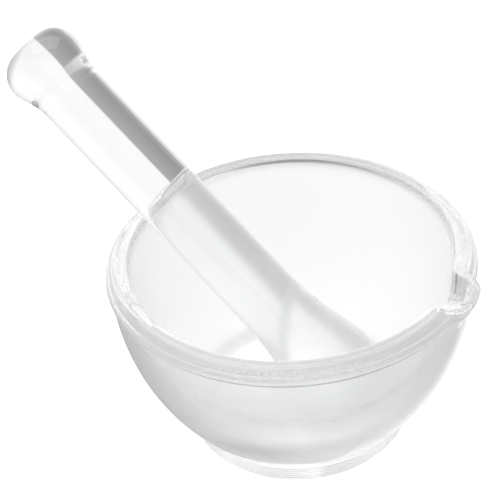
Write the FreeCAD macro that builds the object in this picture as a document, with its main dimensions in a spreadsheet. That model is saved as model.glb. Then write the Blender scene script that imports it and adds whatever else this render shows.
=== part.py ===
import FreeCAD, Part
import math
import os
import Sketcher

# A clear glass mortar with its pouring spout, and the solid glass pestle that rests in it.
# Millimetres. The origin is the centre of the mortar's foot, on the surface that it stands on,
# with +Z up. The spout points along +X and the pestle leans on the lip almost opposite to it.

Vector = FreeCAD.Vector
Rotation = FreeCAD.Rotation
Placement = FreeCAD.Placement
UP = Vector(0, 0, 1)

SIZES = {
    # Mortar, outside: a low foot, one long arc for the wall, then the collar and the lip
    "foot_radius": 27.0,
    "foot_waist_radius": 26.7,
    "foot_height": 4.4,
    "wall_bottom_radius": 27.4,
    "wall_bottom_height": 4.8,
    "wall_arc_radius": 60.9,
    "ledge_inner_radius": 44.0,
    "ledge_outer_radius": 44.7,
    "ledge_height": 45.7,
    "collar_foot_height": 46.0,
    "collar_arc_radius": 1.45,
    "collar_top_radius": 43.8,
    "collar_top_height": 48.1,
    "lip_outer_arc_radius": 2.6,
    "lip_outer_crest_radius": 41.6,
    "lip_inner_crest_radius": 40.9,
    "mortar_height": 49.7,
    "foot_edge_round": 0.6,
    # Mortar, inside: a hemisphere, a short straight wall above it and the lip's inner round
    "cavity_radius": 38.6,
    "cavity_floor_height": 6.3,
    "cavity_straight_height": 44.9,
    "lip_inner_height": 47.4,
    "lip_inner_arc_radius": 2.3,
    "cavity_mouth_height": 60.0,
    # Spout: a horn that grows out of the wall, and the channel cut along it through the lip
    "horn_root_height": 34.0,
    "horn_root_radius": 2.4,
    "horn_root_offset": 38.6,
    "horn_middle_height": 42.0,
    "horn_middle_radius": 6.0,
    "horn_middle_offset": 40.2,
    "horn_top_radius": 8.2,
    "horn_top_offset": 41.0,
    "channel_start_offset": 34.0,
    "channel_start_radius": 7.5,
    "channel_start_height": 51.0,
    "channel_end_offset": 54.0,
    "channel_end_radius": 4.6,
    "channel_end_height": 51.6,
    "spout_edge_round": 0.8,
    # Pestle, measured up its own axis from the tip of the grinding head
    "head_dome_radius": 10.87,
    "head_dome_height": 4.26,
    "head_edge_arc_radius": 2.6,
    "head_radius": 11.7,
    "head_edge_height": 6.16,
    "head_side_arc_radius": 48.4,
    "flare_radius": 10.1,
    "flare_height": 18.5,
    "flare_arc_radius": 52.9,
    "shaft_low_radius": 8.35,
    "shaft_low_height": 32.0,
    "shaft_high_radius": 8.34,
    "shaft_high_height": 104.2,
    "neck_arc_radius": 9.0,
    "neck_top_radius": 9.35,
    "neck_top_height": 108.35,
    "knob_side_arc_radius": 8.7,
    "knob_radius": 10.3,
    "knob_height": 113.0,
    "knob_edge_arc_radius": 6.8,
    "knob_face_radius": 6.45,
    "knob_face_height": 118.65,
    "pestle_length": 118.9,
    # How the pestle rests in the bowl, a little to the front of the mortar's axis
    "lean_above_level": 37.93,
    "lean_direction": 171.28,
    "tip_right": 19.21,
    "tip_back": -4.97,
    "tip_up": 13.92,
}

# Each outline goes round a half section, anticlockwise from the axis, in that piece's XZ plane.
# A row is (distance from the axis, height, arc to the next point): None stands for zero, and an
# arc that curves to the left as it goes has a radius, one that curves to the right has "-radius".
# ABOUT_AXIS is an arc to the left whose centre lies on the axis, so that it turns into a sphere.
ABOUT_AXIS = "about axis"
MORTAR_OUTLINE = [
    (None, None, None),
    ("foot_radius", None, None),
    ("foot_waist_radius", "foot_height", None),
    ("wall_bottom_radius", "wall_bottom_height", "wall_arc_radius"),
    ("ledge_inner_radius", "ledge_height", None),
    ("ledge_outer_radius", "collar_foot_height", "collar_arc_radius"),
    ("collar_top_radius", "collar_top_height", "lip_outer_arc_radius"),
    ("lip_outer_crest_radius", "mortar_height", None),
    (None, "mortar_height", None),
]
CAVITY_OUTLINE = [
    (None, "cavity_floor_height", ABOUT_AXIS),
    ("cavity_radius", "cavity_straight_height", None),
    ("cavity_radius", "lip_inner_height", "-lip_inner_arc_radius"),
    ("lip_inner_crest_radius", "mortar_height", None),
    ("lip_inner_crest_radius", "cavity_mouth_height", None),
    (None, "cavity_mouth_height", None),
]
PESTLE_OUTLINE = [
    (None, None, ABOUT_AXIS),
    ("head_dome_radius", "head_dome_height", "head_edge_arc_radius"),
    ("head_radius", "head_edge_height", "head_side_arc_radius"),
    ("flare_radius", "flare_height", "-flare_arc_radius"),
    ("shaft_low_radius", "shaft_low_height", None),
    ("shaft_high_radius", "shaft_high_height", "-neck_arc_radius"),
    ("neck_top_radius", "neck_top_height", "knob_side_arc_radius"),
    ("knob_radius", "knob_height", "knob_edge_arc_radius"),
    ("knob_face_radius", "knob_face_height", ABOUT_AXIS),
    (None, "pestle_length", None),
]

SLACK = 0.01
START, END, CENTRE = 1, 2, 3
ROOT = -1
HORIZONTAL_AXIS, VERTICAL_AXIS = -1, -2


def size(name):
    return SIZES[name] if name else 0.0


def make_sheet(doc):
    sheet = doc.addObject("Spreadsheet::Sheet", "Sizes")
    for row, (name, value) in enumerate(SIZES.items(), start=1):
        sheet.set("A%d" % row, name)
        sheet.set("B%d" % row, str(value))
        sheet.setAlias("B%d" % row, name)
    doc.recompute()
    return sheet


def origin_plane(body, role):
    return [feature for feature in body.Origin.OriginFeatures if feature.Role == role][0]


def new_sketch(body, name, role, offset=Placement()):
    sketch = body.newObject("Sketcher::SketchObject", name)
    sketch.AttachmentSupport = [(origin_plane(body, role), "")]
    sketch.MapMode = "FlatFace"
    sketch.AttachmentOffset = offset
    return sketch


def bind(sketch, constraint, name):
    """Add a dimension to the sketch and drive it from the sheet."""
    index = sketch.addConstraint(constraint)
    sketch.setExpression("Constraints[%d]" % index, "Sizes." + name)


def radius_about_axis(start, end):
    """The radius of the arc through both points whose centre is on the axis."""
    centre_height = (end.Length ** 2 - start.Length ** 2) / (2 * (end.y - start.y))
    return math.hypot(start.x, start.y - centre_height)


def arc_between(start, end, radius, turns_left):
    chord = end - start
    across = Vector(-chord.y, chord.x, 0).normalize()
    height = math.sqrt(radius ** 2 - (chord.Length / 2) ** 2)
    centre = (start + end) * 0.5 + across * (height if turns_left else -height)
    first, last = (start, end) if turns_left else (end, start)
    angles = [math.atan2(point.y - centre.y, point.x - centre.x) for point in (first, last)]
    if angles[1] < angles[0]:
        angles[1] += 2 * math.pi
    return Part.ArcOfCircle(Part.Circle(centre, UP, radius), *angles)


def draw_outline(sketch, outline):
    """Draw the closed outline and fix every corner and arc to its size in the sheet."""
    corners = [Vector(size(across), size(up), 0) for across, up, arc in outline]
    ends = []
    for index, (across, up, arc) in enumerate(outline):
        start, end = corners[index], corners[(index + 1) % len(corners)]
        if arc == ABOUT_AXIS:
            edge = sketch.addGeometry(arc_between(start, end, radius_about_axis(start, end), True))
            sketch.addConstraint(Sketcher.Constraint("PointOnObject", edge, CENTRE, VERTICAL_AXIS))
            ends.append((edge, START, END))
        elif arc:
            name = arc.lstrip("-")
            turns_left = arc == name
            edge = sketch.addGeometry(arc_between(start, end, size(name), turns_left))
            bind(sketch, Sketcher.Constraint("Radius", edge, size(name)), name)
            ends.append((edge, START, END) if turns_left else (edge, END, START))
        else:
            edge = sketch.addGeometry(Part.LineSegment(start, end))
            ends.append((edge, START, END))
    for index, (across, up, arc) in enumerate(outline):
        edge, first, last = ends[index]
        previous, previous_first, previous_last = ends[index - 1]
        sketch.addConstraint(Sketcher.Constraint("Coincident", previous, previous_last, edge, first))
        for name, kind, axis in ((across, "DistanceX", VERTICAL_AXIS), (up, "DistanceY", HORIZONTAL_AXIS)):
            if name:
                bind(sketch, Sketcher.Constraint(kind, ROOT, START, edge, first, size(name)), name)
            else:
                sketch.addConstraint(Sketcher.Constraint("PointOnObject", edge, first, axis))


def revolve(body, kind, name, outline):
    sketch = new_sketch(body, name + "Outline", "XZ_Plane")
    draw_outline(sketch, outline)
    feature = body.newObject("PartDesign::" + kind, name)
    feature.Profile = sketch
    feature.ReferenceAxis = (sketch, ["V_Axis"])
    feature.Angle = 360.0
    feature.Refine = False
    sketch.Visibility = False
    return feature


def round_edges(body, name, radius_name, is_wanted):
    """Round the edges of the body so far for which is_wanted(edge) is true."""
    body.Document.recompute()
    base = body.Tip
    names = ["Edge%d" % n for n, edge in enumerate(base.Shape.Edges, start=1) if is_wanted(edge)]
    fillet = body.newObject("PartDesign::Fillet", name)
    fillet.Base = (base, names)
    fillet.Radius = SIZES[radius_name]
    fillet.setExpression("Radius", "Sizes." + radius_name)
    return fillet


def is_foot_edge(edge):
    box = edge.BoundBox
    return box.ZMax < SLACK and box.XLength > SIZES["foot_radius"]


def is_spout_tip_edge(edge):
    """True for the two edges where the channel runs out through the front of the horn."""
    box = edge.BoundBox
    is_short = edge.Length < SIZES["horn_top_radius"]
    return is_short and box.XMin > SIZES["ledge_outer_radius"] and box.ZMin < SIZES["ledge_height"] + 1


def circle_section(body, name, role, across, up, away, radius):
    """A circle on a plane parallel to an origin plane, its place and size driven by the sheet."""
    sketch = new_sketch(body, name, role, Placement(Vector(0, 0, size(away)), Rotation()))
    sketch.setExpression(".AttachmentOffset.Base.z", "Sizes." + away)
    centre = Vector(size(across), size(up), 0)
    circle = sketch.addGeometry(Part.Circle(centre, UP, size(radius)))
    bind(sketch, Sketcher.Constraint("Radius", circle, size(radius)), radius)
    for place, kind, axis in ((across, "DistanceX", VERTICAL_AXIS), (up, "DistanceY", HORIZONTAL_AXIS)):
        if place:
            bind(sketch, Sketcher.Constraint(kind, ROOT, START, circle, CENTRE, size(place)), place)
        else:
            sketch.addConstraint(Sketcher.Constraint("PointOnObject", circle, CENTRE, axis))
    sketch.Visibility = False
    return sketch


def loft(body, kind, name, sections):
    feature = body.newObject("PartDesign::" + kind, name)
    feature.Profile = sections[0]
    feature.Sections = sections[1:]
    feature.Refine = False
    return feature


def make_mortar(doc):
    body = doc.addObject("PartDesign::Body", "Mortar")
    body.Label = "mortar"
    revolve(body, "Revolution", "Outside", MORTAR_OUTLINE)
    heights = {"root": "horn_root_height", "middle": "horn_middle_height", "top": "mortar_height"}
    horn = [
        circle_section(
            body, "Horn" + level.title(), "XY_Plane",
            "horn_%s_offset" % level, None, height, "horn_%s_radius" % level,
        )
        for level, height in heights.items()
    ]
    loft(body, "AdditiveLoft", "Horn", horn)
    revolve(body, "Groove", "Cavity", CAVITY_OUTLINE)
    channel = [
        circle_section(
            body, "Channel" + place.title(), "YZ_Plane",
            None, "channel_%s_height" % place, "channel_%s_offset" % place, "channel_%s_radius" % place,
        )
        for place in ("start", "end")
    ]
    loft(body, "SubtractiveLoft", "Channel", channel)
    round_edges(body, "FootRound", "foot_edge_round", is_foot_edge)
    round_edges(body, "SpoutRound", "spout_edge_round", is_spout_tip_edge)
    return body


def make_pestle(doc):
    body = doc.addObject("PartDesign::Body", "Pestle")
    body.Label = "pestle"
    revolve(body, "Revolution", "Solid", PESTLE_OUTLINE)
    lean = math.radians(SIZES["lean_above_level"])
    turn = math.radians(SIZES["lean_direction"])
    axis = Vector(math.cos(lean) * math.cos(turn), math.cos(lean) * math.sin(turn), math.sin(lean))
    tip = Vector(SIZES["tip_right"], SIZES["tip_back"], SIZES["tip_up"])
    body.Placement = Placement(tip, Rotation(UP, axis))
    return body


def check(doc):
    for item in doc.Objects:
        wrong = [word for word in item.State if word in ("Invalid", "Error")]
        if wrong:
            raise RuntimeError("%s failed: %s" % (item.Name, item.State))


def write(bodies):
    os.makedirs("parts", exist_ok=True)
    for body in bodies:
        shape = body.Shape
        if shape.isNull() or not shape.isValid():
            raise RuntimeError("%s has no valid shape" % body.Label)
        shape.exportStep("parts/%s.step" % body.Label)
        print(body.Label, "solids", len(shape.Solids), "volume %.0f mm3" % shape.Volume)


document = FreeCAD.newDocument("MortarAndPestle")
make_sheet(document)
made = [make_mortar(document), make_pestle(document)]
document.recompute()
check(document)
write(made)
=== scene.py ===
import math

import bpy
import numpy as np
from mathutils import Matrix, Vector


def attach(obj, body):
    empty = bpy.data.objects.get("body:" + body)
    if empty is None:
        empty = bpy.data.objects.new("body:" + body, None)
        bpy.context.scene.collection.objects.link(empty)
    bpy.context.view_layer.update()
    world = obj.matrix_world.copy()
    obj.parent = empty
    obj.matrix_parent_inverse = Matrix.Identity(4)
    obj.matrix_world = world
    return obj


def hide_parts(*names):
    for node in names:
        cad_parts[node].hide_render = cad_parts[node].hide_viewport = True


# A clear pressed-glass mortar, ground inside, and its solid glass pestle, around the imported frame.
# Shapes are worked out in millimetres and turned into metres when the meshes are made.
MM = 0.001

# Outlines as (distance from the axis, height, radius of the arc to the next point or None). An
# arc with a positive radius turns left as it goes and one with a negative radius turns right.
OUTSIDE = [
    (0.0, 0.0, None),
    (26.4, 0.0, 0.6),
    (27.0, 0.6, None),
    (26.99, 0.75, -0.3),
    (26.95, 1.25, None),
    (26.94, 1.4, -0.3),
    (26.9, 1.9, None),
    (26.89, 2.05, -0.3),
    (26.85, 2.55, None),
    (26.84, 2.7, -0.3),
    (26.8, 3.2, None),
    (26.79, 3.35, -0.3),
    (26.75, 3.85, None),
    (26.72, 4.3, -0.35),
    (27.4, 4.8, 60.9),
    (44.0, 45.7, None),
    (43.7, 45.95, None),
    (44.7, 46.1, 1.45),
    (43.8, 48.1, 2.6),
    (41.6, 49.7, None),
    (0.0, 49.7, None),
]
# The row of OUTSIDE where the wall's long arc starts, and the heights of the grooves round the foot
WALL_ROW = 14
GROOVE_HEIGHTS = (1.0, 1.65, 2.3, 2.95, 3.6)
CAVITY = [
    (0.0, 6.3, 38.6),
    (38.6, 44.9, None),
    (38.6, 47.4, -2.3),
    (40.9, 49.7, None),
    (40.9, 60.0, None),
    (0.0, 60.0, None),
]
PESTLE = [
    (0.0, 0.0, 16.0),
    (10.87, 4.26, 2.6),
    (11.7, 6.16, 48.4),
    (10.1, 18.5, -52.9),
    (8.35, 32.0, None),
    (8.34, 104.2, -9.0),
    (9.35, 108.35, 8.7),
    (10.3, 113.0, 6.8),
    (6.45, 118.65, 83.3),
    (0.0, 118.9, None),
]
MORTAR_HEIGHT = 49.7
CAVITY_CENTRE, CAVITY_RADIUS = 44.9, 38.6

# The horn of the spout: its height, its centre's distance from the axis and its radius
HORN = [(38.5, 38.6, 3.2), (44.0, 39.6, 6.2), (49.7, 40.1, 8.0)]
# The horn counts from this far below its first height. Below that it is out of the way.
HORN_ROOT, OUT_OF_THE_WAY = 4.0, 9.0
# The channel cut along it: distance from the axis, height of its axis and radius at both ends
CHANNEL = [(34.0, 51.0, 9.5), (48.8, 51.0, 1.7)]
# Widths over which the horn's top edge, its root and the channel's edges are rounded
HORN_EDGE, HORN_BLEND, LIP_BLEND = 0.6, 0.8, 1.4

# The pestle's tip, which way it leans, and its axis
TIP = (19.21, -4.97, 13.92)
LEAN, LEAN_DIRECTION = math.radians(37.93), math.radians(171.28)
LEVEL = math.cos(LEAN)
AXIS = (LEVEL * math.cos(LEAN_DIRECTION), LEVEL * math.sin(LEAN_DIRECTION), math.sin(LEAN))
# The stretch of the pestle whose bends are eased, and over what length
EASED_FROM, EASED_TO, EASED_REACH, EASING_POINTS = 9.0, 111.0, 4.0, 21

# The mesh of the mortar: the angle each side of the spout that has closer columns, and how many
# there are; where the rim's rows take over outside and inside; the rim's rows
SPOUT_ANGLE, SPOUT_COLUMNS, OTHER_COLUMNS = math.radians(19.0), 96, 384
LOW_WALL, LOW_CAVITY = 31.0, 39.0
RIM_ROWS, CORNER_WEIGHT, BEND_WINDOW = 124, 2.5, 15
PESTLE_COLUMNS, FOOT_RINGS = 160, 14
# How closely the outlines are traced for the maps, the wall, the bowl and the pestle
MAPPED_STEP, WALL_STEP, BOWL_STEP, PESTLE_STEP = 0.5, 0.9, 1.5, 0.8
# The part of a section that is mapped around the rim, and the map's step
MAP_LOW, MAP_HIGH, MAP_STEP = (30.0, 24.0), (53.0, 53.0), 0.1
# The rim's sections are found outwards from a point inside the glass: its distance from the axis
# and its greatest height, and a round trough that it stays below under the spout
POLE_ACROSS, POLE_UP = 40.1, 44.4
TROUGH_ACROSS, TROUGH_UP, TROUGH_RADIUS, BELOW_TROUGH = 40.0, 51.3, 7.2, 1.9
POLE_WAYS, POLE_REACH, POLE_STEP = 700, 16.0, 0.1

# Of the light that meets ground glass: how much it scatters back, and the share let through it,
# which paints the ground parts darker as painted shade
BOWL_MILKINESS, HEAD_MILKINESS = 0.36, 0.05
BOWL_GROUND_SHADE, HEAD_GROUND_SHADE = 0.96, 0.86
# How much passes through the clear glass
MORTAR_CLEARNESS, PESTLE_CLEARNESS = 1.0, 0.945
# How rough ground glass is at most, and how much less that is between the grains
BOWL_ROUGHNESS, HEAD_ROUGHNESS, BETWEEN_GRAINS = 0.52, 0.26, 0.8
# The head's ground finish fades out along the axis between these distances from the tip
GROUND_FULL, GROUND_END = 20.0, 42.0
# The scales of the glass's waves, grains and smears, and how rough a smear is
WAVE_SCALE, GRAIN_SCALE, SMEAR_SCALE, SMEAR_ROUGHNESS = 55.0, 2600.0, 90.0, 0.03
# The noise levels between which smears and grains go from least to most
SMEAR_LEVELS, GRAIN_LEVELS = (0.35, 0.75), (0.3, 0.7)
# The waves and the grains as bumps: how strong and how high
WAVE_STRENGTH, WAVE_HEIGHT, GRAIN_STRENGTH, GRAIN_HEIGHT = 0.05, 0.3, 0.35, 0.05
# The bowl's ground finish fades out between these distances outside the cavity's sphere, and
# between these depths below the top
BOWL_FADE, LIP_FADE = (0.6, 1.4), (1.4, 0.5)
# The painted shade lines along the grooves: height, half width, strength, and how far from the
# axis they start. They are under the ledge, over the foot, at its lower edge and round its side.
SHADED_GROOVES = [(45.45, 0.14, 1.0, 43.0), (4.85, 0.3, 1.0, 26.2), (0.2, 0.18, 0.8, 26.6)]
SHADED_GROOVES += [(height, 0.12, 0.7, 26.2) for height in GROOVE_HEIGHTS]
# A groove's painted shade has faded away at this many times its half width
GROOVE_SHADE_FADE = 2.2
GLASS_IOR = 1.5
CLEAR_TINTS = (0.985, 0.99, 0.99, 1.0), (0.995, 0.998, 0.998, 1.0)
# The dark grey painted along the grooves as painted shade
GROOVE_SHADE_GREY = (0.35, 0.36, 0.36, 1.0)

# The studio as the glass shows it. A dark card stands low on the near left: the way it lies, its
# brightness by the cosine from that way, and how far it reaches along a second way across it.
DARK_WAY, DARK_SPAN = (-0.496, -0.717, -0.491), (-0.751, 0.071, 0.656)
DARK_SIDE = [
    (-1.0, 1.0), (0.17, 1.0), (0.2, 0.42), (0.6, 0.3), (0.76, 0.4), (0.85, 0.85), (1.0, 0.9),
]
DARK_WINDOW = [(-0.7, 0.0), (-0.45, 1.0), (0.3, 1.0), (0.55, 0.0)]
# A paler card stands low on the far right
PALE_WAY = (0.88, 0.2, -0.43)
PALE_SIDE = [(-1.0, 1.0), (0.45, 1.0), (0.65, 0.45), (1.0, 0.4)]
# The brightness of the whole by the sine of the height above level
SKY = [(-1.0, 0.84), (-0.6, 0.95), (-0.2, 1.0), (0.3, 1.0), (1.0, 0.97)]
STUDIO_STRENGTH, TOP_LIGHT_WATTS = 1.07, 9.0
WHITE = (1.0, 1.0, 1.0, 1.0)

# Sockets of a Mix node: its factor, and its two inputs and its output for numbers and for colours
FACTOR = 0
NUMBER_A, NUMBER_B, NUMBER_OUT = 2, 3, 0
COLOUR_A, COLOUR_B, COLOUR_OUT = 6, 7, 2


def smooth_least(a, b, width):
    """The smaller of a and b, with the corner between them rounded over the width."""
    mix = np.clip(0.5 + 0.5 * (b - a) / width, 0.0, 1.0)
    return b + (a - b) * mix - width * mix * (1.0 - mix)


def arc_points(start, end, radius, step):
    """Points along an arc, without its end."""
    start, end = np.array(start), np.array(end)
    chord = end - start
    length = np.hypot(*chord)
    across = np.array([-chord[1], chord[0]]) / length
    centre = (start + end) / 2 + across * math.copysign(
        math.sqrt(max(radius**2 - (length / 2) ** 2, 0.0)), radius
    )
    first = math.atan2(*(start - centre)[::-1])
    turn = (math.atan2(*(end - centre)[::-1]) - first + math.pi) % (2 * math.pi) - math.pi
    run = abs(turn * radius)
    # A small arc has a point every 0.12 radians, but not closer together than 0.1 mm
    count = max(3, int(run / step), int(min(abs(turn) / 0.12, run / 0.1)))
    angles = first + turn * np.arange(count) / count
    return centre + abs(radius) * np.stack([np.cos(angles), np.sin(angles)], axis=1)


def trace(outline, step, closed):
    """The outline as closely spaced points."""
    parts = []
    rows = outline if closed else outline[:-1]
    for index, (across, up, radius) in enumerate(rows):
        after = outline[(index + 1) % len(outline)]
        if radius:
            parts.append(arc_points((across, up), after[:2], radius, step))
        else:
            start, end = np.array((across, up)), np.array(after[:2])
            count = max(1, int(np.hypot(*(end - start)) / step))
            share = np.arange(count)[:, None] / count
            parts.append(start + (end - start) * share)
    if not closed:
        parts.append(np.array([outline[-1][:2]]))
    return np.concatenate(parts)


def distance_map(points, low, high, step):
    """Signed distance from a closed outline on a grid: negative inside it."""
    xs = np.arange(low[0], high[0] + step, step)
    zs = np.arange(low[1], high[1] + step, step)
    grid_x, grid_z = np.meshgrid(xs, zs, indexing="ij")
    nearest = np.full(grid_x.shape, 1e9)
    inside = np.zeros(grid_x.shape, bool)
    for (x1, z1), (x2, z2) in zip(points, np.roll(points, -1, axis=0)):
        dx, dz = x2 - x1, z2 - z1
        share = ((grid_x - x1) * dx + (grid_z - z1) * dz) / max(dx * dx + dz * dz, 1e-12)
        share = np.clip(share, 0.0, 1.0)
        gap = np.hypot(grid_x - x1 - share * dx, grid_z - z1 - share * dz)
        nearest = np.minimum(nearest, gap)
        if dz:
            crosses = (z1 > grid_z) != (z2 > grid_z)
            inside ^= crosses & (grid_x < x1 + (grid_z - z1) * dx / dz)
    return np.where(inside, -nearest, nearest)


class Map:
    """A distance map of an outline that can be read between its grid points."""

    def __init__(self, outline):
        self.values = distance_map(trace(outline, MAPPED_STEP, True), MAP_LOW, MAP_HIGH, MAP_STEP)

    def at(self, across, up):
        i = np.clip((across - MAP_LOW[0]) / MAP_STEP, 0, self.values.shape[0] - 1.001)
        j = np.clip((up - MAP_LOW[1]) / MAP_STEP, 0, self.values.shape[1] - 1.001)
        i0, j0 = i.astype(int), j.astype(int)
        u, v = i - i0, j - j0
        v00, v10 = self.values[i0, j0], self.values[i0 + 1, j0]
        v01, v11 = self.values[i0, j0 + 1], self.values[i0 + 1, j0 + 1]
        return v00 * (1 - u) * (1 - v) + v10 * u * (1 - v) + v01 * (1 - u) * v + v11 * u * v


def through(rows, column, at):
    """The smooth curve through that column of the rows, against their first column."""
    where = [row[0] for row in rows]
    return np.polyval(np.polyfit(where, [row[column] for row in rows], len(rows) - 1), at)


def mortar_gap(outside, cavity, angle, across, up):
    """Below zero inside the glass of the mortar's rim and spout, above zero outside it."""
    x, y = across * math.cos(angle), across * math.sin(angle)
    horn = np.hypot(x - through(HORN, 1, up), y) - through(HORN, 2, up)
    horn = np.where(up > HORN[0][0] - HORN_ROOT, horn, OUT_OF_THE_WAY)
    horn = -smooth_least(-horn, MORTAR_HEIGHT - up, HORN_EDGE)
    solid = smooth_least(outside.at(across, up), horn, HORN_BLEND)
    solid = np.maximum(np.maximum(solid, up - MORTAR_HEIGHT), -cavity.at(across, up))
    channel = np.hypot(y, up - through(CHANNEL, 1, x)) - through(CHANNEL, 2, x)
    return -smooth_least(-solid, channel, LIP_BLEND)


def spread(points, rows):
    """Points along the curve, closer together where it bends."""
    steps = np.diff(points, axis=0)
    lengths = np.hypot(*steps.T)
    headings = np.unwrap(np.arctan2(steps[:, 1], steps[:, 0]))
    bends = np.abs(np.diff(headings, prepend=headings[0]))
    kernel = np.hanning(BEND_WINDOW) / np.hanning(BEND_WINDOW).sum()
    bends = np.convolve(bends, kernel, mode="same")
    along = np.concatenate([[0.0], np.cumsum(lengths + CORNER_WEIGHT * bends)])
    wanted = np.linspace(0.0, along[-1], rows)
    return np.stack([np.interp(wanted, along, points[:, axis]) for axis in (0, 1)], axis=1)


def point_at(curve, height):
    """The point of the curve at that height."""
    return np.array([np.interp(height, curve[:, 1], curve[:, 0]), height])


def rim_column(outside, cavity, angle):
    """The rim's section at that angle round the axis, from the outer wall over to the cavity."""
    aside = TROUGH_ACROSS * math.sin(angle) / TROUGH_RADIUS
    trough = TROUGH_UP - TROUGH_RADIUS * math.sqrt(max(0.0, 1.0 - aside**2))
    pole = np.array([POLE_ACROSS, min(POLE_UP, trough - BELOW_TROUGH)])
    first = point_at(trace(OUTSIDE[WALL_ROW:WALL_ROW + 2], MAPPED_STEP, False), LOW_WALL)
    last = point_at(trace(CAVITY[:2], MAPPED_STEP, False), LOW_CAVITY)
    start = math.atan2(*(first - pole)[::-1])
    end = math.atan2(*(last - pole)[::-1]) % (2 * math.pi)
    angles = np.linspace(start, end, POLE_WAYS)
    ways = np.stack([np.cos(angles), np.sin(angles)])
    reach = np.arange(POLE_STEP, POLE_REACH, POLE_STEP)
    across = pole[0] + ways[0][:, None] * reach
    up = pole[1] + ways[1][:, None] * reach
    gap = mortar_gap(outside, cavity, angle, across, up)
    out = np.argmax(gap > 0, axis=1)
    rows = np.arange(len(angles))
    before, after = gap[rows, out - 1], gap[rows, out]
    distance = reach[out - 1] + POLE_STEP * (-before) / (after - before)
    points = pole + (ways * distance).T
    points[0], points[-1] = first, last
    return spread(points, RIM_ROWS)


def mesh_of(name, columns, angles):
    """A closed lathe of the columns, each a list of (distance from the axis, height) points whose
    first and last are on the axis."""
    count, rows = len(columns), len(columns[0]) - 2
    vertices = [(0.0, 0.0, columns[0][0][1] * MM)]
    for column, angle in zip(columns, angles):
        for across, up in column[1:-1]:
            vertices.append((across * math.cos(angle) * MM, across * math.sin(angle) * MM, up * MM))
    vertices.append((0.0, 0.0, columns[0][-1][1] * MM))
    faces = []
    for c in range(count):
        here, there = 1 + c * rows, 1 + (c + 1) % count * rows
        faces.append((0, there, here))
        for r in range(rows - 1):
            faces.append((here + r, there + r, there + r + 1, here + r + 1))
        faces.append((len(vertices) - 1, here + rows - 1, there + rows - 1))
    mesh = bpy.data.meshes.new(name)
    mesh.from_pydata(vertices, [], faces)
    mesh.validate()
    mesh.shade_smooth()
    made = bpy.data.objects.new(name, mesh)
    bpy.context.scene.collection.objects.link(made)
    return made


def trim(points, count):
    """Only count points over the flat underside, where the first point is on the axis."""
    flat = points[points[:, 1] < 1e-6]
    ring = np.linspace(0.0, flat[-1][0], count)
    return np.concatenate([np.stack([ring, np.zeros(count)], axis=1), points[len(flat):]])


def make_mortar():
    outside, cavity = Map(OUTSIDE), Map(CAVITY)
    outer = trace(OUTSIDE[:WALL_ROW + 2], WALL_STEP, False)
    lower = trim(outer[outer[:, 1] < LOW_WALL], FOOT_RINGS)
    inner = trace(CAVITY[:2], BOWL_STEP, False)
    inner = inner[inner[:, 1] < LOW_CAVITY][::-1]
    spout = np.linspace(-SPOUT_ANGLE, SPOUT_ANGLE, SPOUT_COLUMNS + 1)
    rest = np.linspace(SPOUT_ANGLE, 2 * math.pi - SPOUT_ANGLE, OTHER_COLUMNS + 1)[1:-1]
    plain = rim_column(outside, cavity, SPOUT_ANGLE)
    half = [rim_column(outside, cavity, angle) for angle in spout[SPOUT_COLUMNS // 2:]]
    rims = half[:0:-1] + half + [plain] * len(rest)
    columns = [np.concatenate([lower, rim, inner]) for rim in rims]
    return mesh_of("mortar_glass", columns, list(spout) + list(rest))


def eased(points, low, high, reach, step):
    """The outline, with the bends between those heights eased over the reach."""
    along = np.concatenate([[0.0], np.cumsum(np.hypot(*np.diff(points, axis=0).T))])
    inside = (points[:, 1] > low) & (points[:, 1] < high)
    first, last = along[inside][0], along[inside][-1]
    at = np.linspace(first, last, int((last - first) / step))
    near = np.linspace(-reach, reach, EASING_POINTS)
    weights = np.hanning(EASING_POINTS + 2)[1:-1]
    weights /= weights.sum()
    soft = sum(
        weight * np.stack([np.interp(at + off, along, column) for column in points.T], axis=1)
        for weight, off in zip(weights, near)
    )
    return np.concatenate([points[along < first], soft, points[along > last]])


def make_pestle():
    outline = trace(PESTLE, PESTLE_STEP, False)
    column = eased(outline, EASED_FROM, EASED_TO, EASED_REACH, PESTLE_STEP)
    angles = np.linspace(0, 2 * math.pi, PESTLE_COLUMNS + 1)[:-1]
    made = mesh_of("pestle_glass", [column] * len(angles), angles)
    turn = Vector((0, 0, 1)).rotation_difference(Vector(AXIS))
    made.data.transform(Matrix.Translation(Vector(TIP) * MM) @ turn.to_matrix().to_4x4())
    return made


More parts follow.
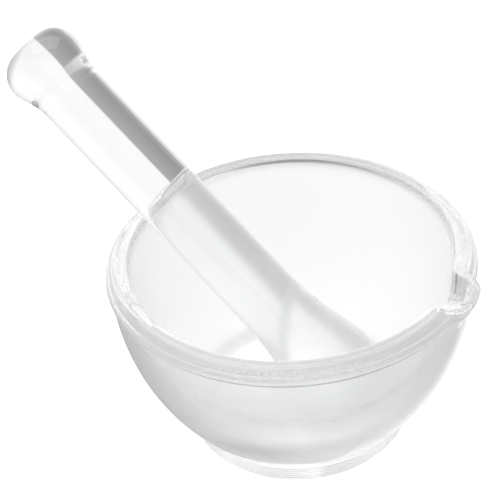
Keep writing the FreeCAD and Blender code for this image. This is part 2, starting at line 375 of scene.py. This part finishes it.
class Nodes:
    """Builds the node tree of a material or a world."""

    def __init__(self, owner):
        owner.use_nodes = True
        self.tree = owner.node_tree
        self.tree.nodes.clear()

    def add(self, kind, inputs=None, **settings):
        node = self.tree.nodes.new("ShaderNode" + kind)
        for key, value in settings.items():
            setattr(node, key, value)
        for key, value in (inputs or {}).items():
            if isinstance(value, bpy.types.NodeSocket):
                self.tree.links.new(value, node.inputs[key])
            else:
                node.inputs[key].default_value = value
        return node

    def math(self, operation, *values):
        return self.add("Math", dict(enumerate(values)), operation=operation).outputs[0]

    def dot(self, vector, way):
        node = self.add("VectorMath", {0: vector, 1: way}, operation="DOT_PRODUCT")
        return node.outputs["Value"]

    def minus(self, vector, place):
        """The vector from the place."""
        node = self.add("VectorMath", {0: vector, 1: -Vector(place)}, operation="ADD")
        return node.outputs[0]

    def range(self, value, low, high, to_low, to_high):
        inputs = {
            "Value": value, "From Min": low, "From Max": high, "To Min": to_low, "To Max": to_high,
        }
        return self.add("MapRange", inputs, interpolation_type="SMOOTHSTEP").outputs[0]

    def noise(self, where, scale, detail):
        return self.add("TexNoise", {"Vector": where, "Scale": scale, "Detail": detail}).outputs[0]

    def mix_numbers(self, factor, a, b):
        inputs = {FACTOR: factor, NUMBER_A: a, NUMBER_B: b}
        return self.add("Mix", inputs, data_type="FLOAT").outputs[NUMBER_OUT]

    def mix(self, factor, a, b, blend="MIX"):
        inputs = {FACTOR: factor, COLOUR_A: a, COLOUR_B: b}
        return self.add("Mix", inputs, data_type="RGBA", blend_type=blend).outputs[COLOUR_OUT]

    def ramp(self, value, stops):
        """A grey level by a value from -1 to 1."""
        share = self.add("MapRange", {"Value": value, "From Min": -1.0, "From Max": 1.0}).outputs[0]
        node = self.add("ValToRGB", {"Fac": share})
        elements = node.color_ramp.elements
        while len(elements) < len(stops):
            elements.new(1.0)
        for element, (place, level) in zip(elements, stops):
            element.position, element.color = (place + 1) / 2, (level, level, level, 1.0)
        return node.outputs[0]


def glass_material(name, ground_mask, milkiness, ground_shade, clearness, roughness, shade_line_mask=None):
    """Clear glass whose ground parts, where ground_mask is 1, scatter what is seen through them.
    Where the shade line mask is 1, a fine groove is painted dark grey as painted shade."""
    material = bpy.data.materials.new(name)
    nodes = Nodes(material)
    where = nodes.add("TexCoord").outputs["Object"]
    ground = ground_mask(nodes, where)
    behind = nodes.add("NewGeometry").outputs["Backfacing"]
    milky = nodes.math("MULTIPLY", ground, nodes.math("SUBTRACT", 1.0, behind))
    flow = nodes.noise(where, WAVE_SCALE, 1.0)
    grain = nodes.noise(where, GRAIN_SCALE, 3.0)
    smears = nodes.noise(where, SMEAR_SCALE, 3.0)
    clear_rough = nodes.range(smears, *SMEAR_LEVELS, 0.0, SMEAR_ROUGHNESS)
    ground_rough = nodes.range(grain, *GRAIN_LEVELS, BETWEEN_GRAINS * roughness, roughness)
    waves = {"Height": flow, "Strength": WAVE_STRENGTH, "Distance": WAVE_HEIGHT * MM}
    wave = nodes.add("Bump", waves)
    grains = {
        "Height": nodes.math("MULTIPLY", grain, ground), "Strength": GRAIN_STRENGTH,
        "Distance": GRAIN_HEIGHT * MM, "Normal": wave.outputs[0],
    }
    # Painted shade: the ground parts' colour is darkened by their share let through
    clear_and_ground_shade = nodes.mix(ground, (clearness,) * 3 + (1.0,), (ground_shade,) * 3 + (1.0,))
    tint = nodes.mix(1.0, nodes.mix(smears, *CLEAR_TINTS), clear_and_ground_shade, "MULTIPLY")
    # Painted shade: the fine grooves are painted dark grey
    if shade_line_mask:
        tint = nodes.mix(shade_line_mask(nodes, where), tint, GROOVE_SHADE_GREY)
    shader = nodes.add(
        "BsdfPrincipled",
        {
            "Base Color": tint,
            "Roughness": nodes.mix_numbers(ground, clear_rough, ground_rough),
            "Normal": nodes.add("Bump", grains).outputs[0],
            "IOR": GLASS_IOR,
            "Transmission Weight": nodes.range(milky, 0.0, 1.0, 1.0, 1.0 - milkiness),
        },
    )
    nodes.add("OutputMaterial", {"Surface": shader.outputs[0]})
    return material


def bowl_mask(nodes, where):
    """1 on the ground inside of the bowl, up to where its wall turns over into the lip."""
    from_centre = nodes.minus(where, (0, 0, CAVITY_CENTRE * MM))
    away = nodes.add("VectorMath", {0: from_centre}, operation="LENGTH").outputs["Value"]
    height = nodes.add("SeparateXYZ", {0: where}).outputs[2]
    inside_of = [(CAVITY_RADIUS + beyond) * MM for beyond in BOWL_FADE]
    under = [(MORTAR_HEIGHT - depth) * MM for depth in LIP_FADE]
    inside = nodes.range(away, *inside_of, 1.0, 0.0)
    low = nodes.range(height, *under, 1.0, 0.0)
    return nodes.math("MULTIPLY", inside, low)


def groove_shade_mask(nodes, where):
    """Up to 1 along the fine grooves outside, which are painted dark grey as painted shade."""
    x, y, height = nodes.add("SeparateXYZ", {0: where}).outputs
    squares = [nodes.math("POWER", value, 2.0) for value in (x, y)]
    away = nodes.math("SQRT", nodes.math("ADD", *squares))

    def line(at, half, strength, clear_of):
        """The strength within half of that height, and less beyond it, but 0 nearer the axis than
        clear_of."""
        off = nodes.math("ABSOLUTE", nodes.math("SUBTRACT", height, at * MM))
        near = nodes.range(off, half * MM, GROOVE_SHADE_FADE * half * MM, strength, 0.0)
        return nodes.math("MULTIPLY", near, nodes.math("GREATER_THAN", away, clear_of * MM))

    total = line(*SHADED_GROOVES[0])
    for groove in SHADED_GROOVES[1:]:
        total = nodes.math("MAXIMUM", total, line(*groove))
    return total


def head_mask(nodes, where):
    """1 on the ground grinding head."""
    along = nodes.dot(nodes.minus(where, Vector(TIP) * MM), AXIS)
    return nodes.range(along, GROUND_FULL * MM, GROUND_END * MM, 1.0, 0.0)


def make_floor():
    mesh = bpy.data.meshes.new("floor")
    half, low = 3.0, -0.00005
    corners = [(-half, -half, low), (half, -half, low), (half, half, low), (-half, half, low)]
    mesh.from_pydata(corners, [], [(0, 1, 2, 3)])
    floor = bpy.data.objects.new("floor", mesh)
    bpy.context.scene.collection.objects.link(floor)
    material = bpy.data.materials.new("pale_floor")
    nodes = Nodes(material)
    shader = nodes.add("BsdfPrincipled", {"Base Color": (0.93, 0.93, 0.93, 1.0), "Roughness": 0.9})
    nodes.add("OutputMaterial", {"Surface": shader.outputs[0]})
    mesh.materials.append(material)
    # The glass shows the studio through the floor and not the floor
    floor.visible_transmission = False
    floor.visible_glossy = False


def add_light(name, place, target, width, height, power):
    data = bpy.data.lights.new(name, "AREA")
    data.shape = "RECTANGLE"
    data.size, data.size_y, data.energy = width, height, power
    light = bpy.data.objects.new(name, data)
    light.location = place
    light.rotation_mode = "QUATERNION"
    light.rotation_quaternion = (Vector(target) - Vector(place)).to_track_quat("-Z", "Y")
    bpy.context.scene.collection.objects.link(light)


def make_light():
    """A white studio. Its two cards are seen only through the glass and in it."""
    world = bpy.data.worlds.new("studio")
    bpy.context.scene.world = world
    nodes = Nodes(world)
    way = nodes.add("TexCoord").outputs["Generated"]
    window = nodes.ramp(nodes.dot(way, DARK_SPAN), DARK_WINDOW)
    tone = nodes.mix(window, WHITE, nodes.ramp(nodes.dot(way, DARK_WAY), DARK_SIDE))
    for axis, stops in ((PALE_WAY, PALE_SIDE), ((0, 0, 1), SKY)):
        tone = nodes.mix(1.0, tone, nodes.ramp(nodes.dot(way, axis), stops), "MULTIPLY")
    seen = nodes.add("LightPath").outputs["Is Camera Ray"]
    inputs = {"Color": nodes.mix(seen, tone, WHITE), "Strength": STUDIO_STRENGTH}
    nodes.add("OutputWorld", {"Surface": nodes.add("Background", inputs).outputs[0]})
    add_light(
        "top_light", place=(-0.2, 0.3, 1.2), target=(0, 0, 0), width=1.6, height=1.2,
        power=TOP_LIGHT_WATTS,
    )


def make_camera():
    """A 144 mm lens on a 36 mm wide sensor, half a metre away and 40 degrees above level."""
    distance, elevation, turn, roll = 0.49895, 0.69956, math.radians(27.0), -0.08180
    right_shift, up_shift, target_height = -0.020071, 0.049904, 0.02
    across, above = -distance * math.cos(elevation), distance * math.sin(elevation)
    place = Vector((0, across, above + target_height))
    ahead = Vector((0, math.cos(elevation), -math.sin(elevation)))
    right = Vector((1, 0, 0))
    ahead = (ahead + right * right_shift + right.cross(ahead) * up_shift).normalized()
    right = ahead.cross(Vector((0, 0, 1))).normalized()
    up = right.cross(ahead)
    tilted_right = right * math.cos(roll) + up * math.sin(roll)
    tilted_up = up * math.cos(roll) - right * math.sin(roll)
    pose = Matrix((tilted_right, tilted_up, -ahead)).transposed().to_4x4()
    pose.translation = place
    data = bpy.data.cameras.new("camera")
    data.lens, data.sensor_width = 144.0, 36.0
    camera = bpy.data.objects.new("camera", data)
    camera.matrix_world = Matrix.Rotation(turn, 4, "Z") @ pose
    bpy.context.scene.collection.objects.link(camera)
    bpy.context.scene.camera = camera


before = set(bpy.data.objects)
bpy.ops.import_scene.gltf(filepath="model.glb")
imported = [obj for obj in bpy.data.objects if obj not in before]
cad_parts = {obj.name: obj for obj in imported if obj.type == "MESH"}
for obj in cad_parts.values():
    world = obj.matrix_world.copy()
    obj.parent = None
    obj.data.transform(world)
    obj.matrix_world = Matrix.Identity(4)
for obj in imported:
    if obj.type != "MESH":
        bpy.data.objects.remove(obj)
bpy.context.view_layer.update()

mortar = make_mortar()
mortar.data.materials.append(
    glass_material(
        "mortar_glass", bowl_mask, BOWL_MILKINESS, BOWL_GROUND_SHADE, MORTAR_CLEARNESS, BOWL_ROUGHNESS,
        groove_shade_mask,
    )
)
pestle = make_pestle()
pestle.data.materials.append(
    glass_material(
        "pestle_glass", head_mask, HEAD_MILKINESS, HEAD_GROUND_SHADE, PESTLE_CLEARNESS, HEAD_ROUGHNESS
    )
)
for piece, node in ((mortar, "mortar"), (pestle, "pestle")):
    # Clear glass casts next to no shadow on a floor as brightly lit as this one
    piece.visible_shadow = False
    piece.visible_diffuse = False
    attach(piece, node)
    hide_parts(node)

make_floor()
make_light()
make_camera()

scene = bpy.context.scene
scene.view_settings.view_transform = "Standard"
# Light goes in and out of the thick glass many times
scene.cycles.max_bounces = 64
scene.cycles.transmission_bounces = 64
scene.cycles.glossy_bounces = 32
